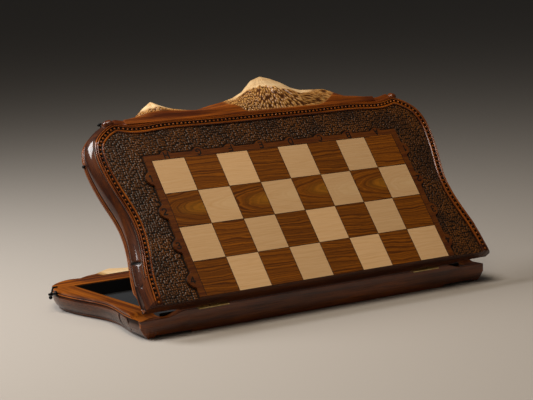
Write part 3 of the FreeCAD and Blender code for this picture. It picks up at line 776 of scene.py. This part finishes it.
def bead_tree():
    """Beads along a line, in metres."""
    tree, given, out = node_tree("beads along a line", {
        "Pitch": BEAD_PITCH * MM, "Radius": BEAD_R * MM})
    line = add(tree, "GeometryNodeResampleCurve", {
        "Curve": given["Geometry"], "Length": given["Pitch"]}, mode="LENGTH")
    ball = add(tree, "GeometryNodeMeshUVSphere", {
        "Segments": 14, "Rings": 9, "Radius": given["Radius"]})
    smooth = add(tree, "GeometryNodeSetShadeSmooth", {"Geometry": ball.outputs[0]})
    placed = add(tree, "GeometryNodeInstanceOnPoints", {
        "Points": line.outputs[0], "Instance": smooth.outputs[0], "Scale": (1.0, 1.0, 0.85)})
    return end_tree(tree, given, out, placed.outputs[0], 1.0)


def bead_row(half, tree, material):
    """Carved beads in the channel of the rim."""
    path, inward = outline_path(260)
    spots = path + CHANNEL_IN * inward
    spots = spots[spots[:, 1] > 3]
    curve = bpy.data.curves.new(f"{half}_bead_row", "CURVE")
    curve.dimensions = "3D"
    line = curve.splines.new("POLY")
    line.points.add(len(spots) - 1)
    for point, (x, y) in zip(line.points, spots):
        point.co = (x * MM, y * MM, -CHANNEL_DEPTH * MM, 1)
    source = bpy.data.objects.new(f"{half}_bead_row", curve)
    bpy.context.scene.collection.objects.link(source)
    settle(baked(source, tree, material), half, material)


# ---------------------------------------------------------------- punched ground

# Rows across the sheet from rim to field, and steps along a side and along the rear
GROUND_ROWS = 68
SIDE_STEPS = 290
REAR_ROW_STEPS = 600
RIM_IN = 19.9
# The sheet's corner is where the outline passes this X; it is tucked this far under the border
CORNER_X = -262.0
TUCK = 5.0
SHEET_HALF = 0.15


def cells(tree, place, size, seed, randomness, low, high):
    """Rounded cells: 1 at the middle of each and 0 between them, and the cells' random colour."""
    dense = add(tree, "ShaderNodeMath", {0: 1.0, 1: size}, operation="DIVIDE").outputs[0]
    scaled = add(tree, "ShaderNodeVectorMath", {
        0: place, "Scale": dense}, operation="SCALE").outputs[0]
    moved = add(tree, "ShaderNodeVectorMath", {0: scaled, 1: seed}, operation="ADD").outputs[0]
    pattern = add(tree, "ShaderNodeTexVoronoi", {
        "Vector": moved, "Scale": 1.0, "Randomness": randomness},
        voronoi_dimensions="2D", feature="F1")
    dome = add(tree, "ShaderNodeMapRange", {
        0: pattern.outputs["Distance"], 1: low, 2: high, 3: 1.0, 4: 0.0},
        interpolation_type="SMOOTHSTEP")
    return dome.outputs[0], pattern.outputs["Color"]


def pebble_tree():
    """Punched ground: domes of mixed height pushed up from a flat sheet, in metres."""
    tree, given, out = node_tree("punched ground", {
        "Pitch": 3.3 * MM, "Height": 0.9 * MM, "Seed": float(SEED)})
    place = add(tree, "GeometryNodeInputPosition").outputs[0]
    dome, colour = cells(tree, place, given["Pitch"], given["Seed"], 0.6, 0.1, 0.62)
    chance = add(tree, "ShaderNodeSeparateXYZ", {0: colour}).outputs[0]
    tall = add(tree, "ShaderNodeMapRange", {
        0: chance, 1: 0.0, 2: 1.0, 3: 0.65, 4: 1.0}).outputs[0]
    share = add(tree, "ShaderNodeMath", {0: dome, 1: tall}, operation="MULTIPLY").outputs[0]
    top = add(tree, "GeometryNodeInputNamedAttribute", {"Name": "top"}, data_type="FLOAT")
    share = add(tree, "ShaderNodeMath", {
        0: share, 1: top.outputs[0]}, operation="MULTIPLY").outputs[0]
    rise = add(tree, "ShaderNodeMath", {
        0: share, 1: given["Height"]}, operation="MULTIPLY").outputs[0]
    offset = add(tree, "ShaderNodeCombineXYZ", {2: rise}).outputs[0]
    shaped = add(tree, "GeometryNodeSetPosition", {
        "Geometry": given["Geometry"], "Offset": offset})
    return end_tree(tree, given, out, shaped.outputs[0], share)


def border_distance(half, spots):
    """How far points of the ground lie from the scalloped border's outline, in millimetres."""
    back = TO_ROW[half].inverted()
    outline = []
    for side in ("left", "right", "rear"):
        mesh = frame["nodes"][f"{half}_{side}_border"].data
        ends = [back @ vertex.co for vertex in mesh.vertices]
        for edge in mesh.edges:
            start, end = (ends[i] for i in edge.vertices)
            steps = max(1, round((end - start).length / MM))
            outline += [start.lerp(end, k / steps).xy / MM for k in range(steps + 1)]
    tree = KDTree(len(outline))
    for i, spot in enumerate(outline):
        tree.insert((spot.x, spot.y, 0), i)
    tree.balance()
    return np.array([tree.find((x, y, 0))[2] for x, y, _ in spots])


def pebbled_ground(half, tree, material):
    """The punched sheet between the rim and the field, open at the hinge edge.

    It is flat along the rim and along the scalloped border, where it takes the near-black colour of
    the hollows; along the border this dark line is partly a dark stained cut and partly painted
    shadow of the border's step.
    """
    path, inward = outline_path(1600)
    rim = path + RIM_IN * inward
    corner = int(np.argmax(path[:, 0] > CORNER_X))
    corner_x, corner_y = -FIELD_X - TUCK, FIELD_Y + TUCK
    side_at = np.linspace(0, corner, SIDE_STEPS).astype(int)
    rear_at = np.linspace(corner, len(path) - 1 - corner, REAR_ROW_STEPS).astype(int)[1:-1]
    outer = np.vstack([rim[side_at], rim[rear_at], rim[side_at][::-1] * (-1, 1)])
    left = np.linspace((corner_x, 0), (corner_x, corner_y), SIDE_STEPS)
    rear = np.linspace((corner_x, corner_y), (-corner_x, corner_y), REAR_ROW_STEPS)[1:-1]
    inner = np.vstack([left, rear, left[::-1] * (-1, 1)])
    share = np.linspace(0, 1, GROUND_ROWS)[None, :, None]
    sheet = outer[:, None, :] * (1 - share) + inner[:, None, :] * share
    height = np.full(sheet.shape[:2] + (1,), SHEET_HALF - GROUND)
    sheet = np.concatenate([sheet, height], axis=2)
    under = sheet[:, [-1, 0]].copy()
    under[..., 2] = -GROUND - SHEET_HALF
    sections = np.concatenate([sheet, under], axis=1)
    spots, faces = swept(sections)
    off_rim = np.linalg.norm(sheet - sheet[:, :1], axis=2)
    off_border = border_distance(half, sheet.reshape(-1, 3)).reshape(sheet.shape[:2])
    top = np.zeros(sections.shape[:2])
    # Where top is 0 the sheet stays flat and near black: a dark line along the rim, and along the
    # border partly its stained cut and partly painted shadow of its step
    top[:, :GROUND_ROWS] = smooth_share(off_rim, 0.5, 2.5) * smooth_share(off_border, 1.2, 3.4)
    piece = object_from(f"{half}_pebbled_ground", spots, faces, {"top": top.ravel()})
    piece = baked(piece, tree, material)
    tidy_normals(piece, 60)
    settle(piece, half, material)


# ---------------------------------------------------------------- mountain crest

# The range: its summits and the middle of its snow along X, its foot's reach over the rear rail
BIG_PEAK = 38.0
SMALL_PEAK = -152.0
SNOW_AT = 46.0
FOOT_REACH = 7.5
CREST_STEP = 0.75
CREST_ROWS = 76
# Where the chiselling of each peak starts and ends, along X
CUT_BIG = (-43.0, -31.0, 142.0, 148.0)
CUT_SMALL = (-186.0, -178.0, -112.0, -96.0)


def chisel_tree():
    """Chisel cuts: Cut is their width in the mesh's flow, in millimetres; Depth is in metres."""
    tree, given, out = node_tree("chisel cuts", {
        "Cut": 2.3, "Depth": 1.0 * MM, "Seed": float(SEED)})
    flow = add(tree, "GeometryNodeInputNamedAttribute", {"Name": "flow"}, data_type="FLOAT_VECTOR")
    cutting = add(tree, "GeometryNodeInputNamedAttribute", {
        "Name": "cutting"}, data_type="FLOAT").outputs[0]
    scale, _ = cells(tree, flow.outputs[0], given["Cut"], given["Seed"], 0.9, 0.08, 0.66)
    left = add(tree, "ShaderNodeMath", {0: scale, 1: cutting}, operation="MULTIPLY").outputs[0]
    sunk = add(tree, "ShaderNodeMath", {0: left, 1: cutting}, operation="SUBTRACT").outputs[0]
    depth = add(tree, "ShaderNodeMath", {
        0: sunk, 1: given["Depth"]}, operation="MULTIPLY").outputs[0]
    normal = add(tree, "GeometryNodeInputNormal").outputs[0]
    offset = add(tree, "ShaderNodeVectorMath", {
        0: normal, "Scale": depth}, operation="SCALE").outputs[0]
    shaped = add(tree, "GeometryNodeSetPosition", {
        "Geometry": given["Geometry"], "Offset": offset})
    share = add(tree, "ShaderNodeMath", {0: sunk, 1: 1.0}, operation="ADD").outputs[0]
    return end_tree(tree, given, out, shaped.outputs[0], share)


def mountain_crest(half, tree, material):
    """The range behind the rear rail: smooth foot, chiselled flanks, pale summits."""
    x = np.arange(RIDGE[0][0], RIDGE[-1][0] + CREST_STEP / 2, CREST_STEP)
    ridge = np.interp(x, *np.array(RIDGE).T)
    ridge = np.convolve(np.pad(ridge, 2, mode="edge"), (0.1, 0.2, 0.4, 0.2, 0.1), mode="valid")
    x, ridge = x[:, None], ridge[:, None]
    rise = np.maximum(ridge - REAR_EDGE, 0.4)
    y = REAR_EDGE - FOOT_REACH + (rise + FOOT_REACH) * np.linspace(0, 1, CREST_ROWS)
    height = y - REAR_EDGE
    up = np.clip(height / rise, 0, 1)

    # Spurs run down from each summit
    angle = np.arctan2(x - BIG_PEAK, ridge.max() + 6 - y)
    spurs = np.abs(np.sin(angle * 5.5 + 0.5)) ** 0.8 + 0.5 * np.abs(np.sin(angle * 12.0 + 1.0))
    mass = np.exp(-((x - BIG_PEAK - 10) / 62) ** 2)
    angle_small = np.arctan2(x - SMALL_PEAK, 306 - y)
    spurs_small = np.abs(np.sin(angle_small * 4.0 + 0.9)) ** 0.8
    mass_small = np.exp(-((x - SMALL_PEAK - 4) / 20) ** 2)

    # Snow lies down to an uneven line below the ridge
    reach = 1.5 + 20 * np.exp(-((x - SNOW_AT) / np.where(x < SNOW_AT, 36.0, 50.0)) ** 2)
    reach = reach + 1.5 * np.sin(angle * 17) + np.sin(angle * 31 + 1)
    snow_big = smooth_share(reach - ridge + y, -2, 2) * between(x, -40, -10, 95, 130)
    snow_small = smooth_share(height + np.sin(angle_small * 17), 17, 23)
    snow_small = snow_small * smooth_share(-np.abs(x - SMALL_PEAK), -30, -22)
    snow = np.maximum(snow_big, snow_small)

    # Chiselled flanks start above a foot line
    foot_line = 9 - 15 * smooth_share(x, -38, -18) + 30 * smooth_share(x, 100, 165)
    flank = np.maximum(between(x, *CUT_BIG), between(x, *CUT_SMALL))
    flank = flank * smooth_share(height, foot_line, foot_line + 3)
    cutting = flank * (1 - 0.96 * snow) * (1 - smooth_share(up, 0.97, 1.0))

    # Depth of the face, from the ridge's edge down to the foot
    lean = (smooth_share(up, 0.12, 1.25) / smooth_share(1.0, 0.12, 1.25)) ** 0.9
    depth = 2.2 + 17.8 * lean - 0.9 * smooth_share(-height, 1.0, FOOT_REACH)
    edge = between(up, 0.2, 0.5, 0.9, 1.0)
    depth = depth - 2.6 * spurs * mass * edge * (1 - 0.9 * snow_big)
    depth = depth - 1.8 * spurs_small * mass_small * edge

    # The cuts lie across the slope on the left, fan out under the summit, and run out on the right
    sideways = np.broadcast_to(x, height.shape)
    on_left, on_right = sideways < 8, sideways > 78
    around = np.where(mass_small > mass, angle_small * 24, angle * 40)
    flow_u = np.where(on_right, height + 0.35 * sideways, around)
    flow_u = np.where(on_left, sideways, flow_u)
    flow_v = np.where(on_right, 0.16 * sideways - 0.1 * height, 0.3 * height)
    flow_v = np.where(on_left, 0.6 * height, flow_v)
    flow = np.stack([flow_u, flow_v, np.zeros_like(height)], axis=2)

    face = np.stack([sideways, y, -depth], axis=2)
    back_y = np.concatenate([ridge, np.full_like(ridge, REAR_EDGE - 3)], axis=1)
    back = np.stack([np.repeat(x, 2, 1), back_y, np.full_like(back_y, -PARTING)], axis=2)
    spots, faces = swept(np.concatenate([face, back], axis=1))
    if half == "base":
        spots = spots * (-1, 1, 1)
    pad = ((0, 0), (0, 2))
    piece = object_from(f"{half}_carved_range", spots, faces, {
        "snow": np.pad(snow, pad, mode="edge").ravel(),
        "flank": np.pad(flank, pad, mode="edge").ravel(),
        "cutting": np.pad(cutting, pad).ravel()})
    layer = piece.data.attributes.new("flow", "FLOAT_VECTOR", "POINT")
    layer.data.foreach_set("vector", np.pad(flow, pad + ((0, 0),)).astype(np.float32).ravel())
    tidy_normals(piece, 180)
    piece = baked(piece, tree, material)
    tidy_normals(piece, 55)
    settle(piece, half, material, [f"{half}_mountain_crest"])


# ---------------------------------------------------------------- assembly

# Share of wear and painted shading on the hinge walls: the base's is brown, the lid's is painted
# nearly black as shade, because it faces down
HINGE_WALL_SHADING = {"base": 0.42, "lid": 0.13}
# Veneer tones: early wood, late wood, pores, and the painted glow at the heart
MAPLE_TONES = ("e9c496", "dfb27c", "cf9f68", "ebc795")
WALNUT_TONES = ("98570f", "5f3007", "2f1503", "b47a1e")


def paint(node, material):
    """Gives a node of the frame its material."""
    obj = frame["nodes"][node]
    obj.data.materials.clear()
    obj.data.materials.append(material)


def build_half(half, trees, shared):
    """Carved pieces of a half, and the finishes of its flat ones."""
    walnut = {axis: carved_walnut(half, axis) for axis in ("X", "Y")}
    carved_rails(half, walnut)
    hinge_wall(half, walnut["X"], HINGE_WALL_SHADING[half])
    bead_row(half, trees["beads"], walnut["X"])
    ground = pebbled_walnut(half)
    pebbled_ground(half, trees["pebbles"], ground)
    mountain_crest(half, trees["chisel"], crest_walnut(half))
    border = border_walnut(half)
    for part, material, slot in (
        ("ground_panel", ground, "pebbled_walnut"),
        ("light_squares", veneer(half, "maple veneer", MAPLE_TONES, 0.15, 0.42), "maple_squares"),
        ("dark_squares", veneer(half, "walnut veneer", WALNUT_TONES, 0.7, 0.13), "walnut_squares"),
        ("left_border", border, "border_walnut"),
        ("right_border", border, "border_walnut"),
        ("rear_border", border, "border_walnut"),
        ("stringing", shared["ebony"], "ebony_inlay"),
        ("coordinate_inlays", shared["ebony"], "ebony_inlay"),
        ("floor_lining", shared["felt"], "lining_cloth"),
        ("wall_lining", shared["felt"], "lining_cloth"),
        ("hinge_screws", shared["brass"], "hinge_brass"),
    ):
        paint(f"{half}_{part}", material)


def build_hardware(shared):
    """Finishes of the hinges, the latches and the knob."""
    for side in ("left", "right"):
        for part in ("hinge_base_leaf", "hinge_lid_leaf", "hinge_pin"):
            paint(f"{side}_{part}", shared["brass"])
        for part in ("latch_post", "latch_stud", "latch_lever"):
            paint(f"{side}_{part}", shared["steel"])
    paint("lid_corner_knob", shared["steel"])


# ---------------------------------------------------------------- studio

FLOOR_REACH = 40.0
# Soft boxes: name, place, aim, size, power and tint
LIGHTS = (
    ("overhead box", (-0.45, -0.35, 1.65), (0.0, -0.05, 0.1), 0.9, 16.0, "fff0dc"),
    ("rear left box", (-1.06, 0.68, 1.14), (-0.28, 0.02, 0.21), 0.75, 22.0, "ffffff"),
    ("front fill", (-0.4, -2.4, 0.8), (0.0, -0.1, 0.05), 1.2, 1.0, "ffe6cc"),
)


def studio():
    """Pale floor, soft boxes and plain surroundings."""
    scene = bpy.context.scene
    mesh = bpy.data.meshes.new("floor")
    signs = ((-1, -1), (1, -1), (1, 1), (-1, 1))
    corners = [(x * FLOOR_REACH, y * FLOOR_REACH, 0) for x, y in signs]
    mesh.from_pydata(corners, [], [(0, 1, 2, 3)])
    floor = bpy.data.objects.new("floor", mesh)
    scene.collection.objects.link(floor)
    material, tree = new_material("pale matt floor")
    finish_surface(tree, Base_Color=linear("b9b2aa"), Roughness=0.85)
    mesh.materials.append(material)
    world = bpy.data.worlds.new("studio")
    scene.world = world
    world.use_nodes = True
    world.node_tree.nodes["Background"].inputs[0].default_value = linear("c9c6c2")
    world.node_tree.nodes["Background"].inputs[1].default_value = 0.045
    for name, place, aim, size, power, tint in LIGHTS:
        light = bpy.data.lights.new(name, "AREA")
        light.size = size
        light.energy = power
        light.color = linear(tint)[:3]
        lamp = bpy.data.objects.new(name, light)
        scene.collection.objects.link(lamp)
        lamp.location = place
        lamp.rotation_euler = (Vector(aim) - Vector(place)).to_track_quat("-Z", "Y").to_euler()
    scene.view_settings.view_transform = "Standard"
    scene.view_settings.look = "None"


def camera():
    """Long lens from the front left, a little above the case."""
    data = bpy.data.cameras.new("camera")
    data.lens = 121.35
    data.sensor_width = 36.0
    data.clip_end = 50.0
    obj = bpy.data.objects.new("camera", data)
    bpy.context.scene.collection.objects.link(obj)
    obj.location = (-1.4106, -1.957, 0.5182)
    obj.rotation_euler = [math.radians(angle) for angle in (80.946, 1.165, -35.613)]
    bpy.context.scene.camera = obj


shared_materials = {"ebony": ebony(), "felt": felt(), "brass": brass(), "steel": black_steel()}
shape_trees = {"beads": bead_tree(), "pebbles": pebble_tree(), "chisel": chisel_tree()}
for half_name in HALVES:
    build_half(half_name, shape_trees, shared_materials)
build_hardware(shared_materials)
studio()
camera()
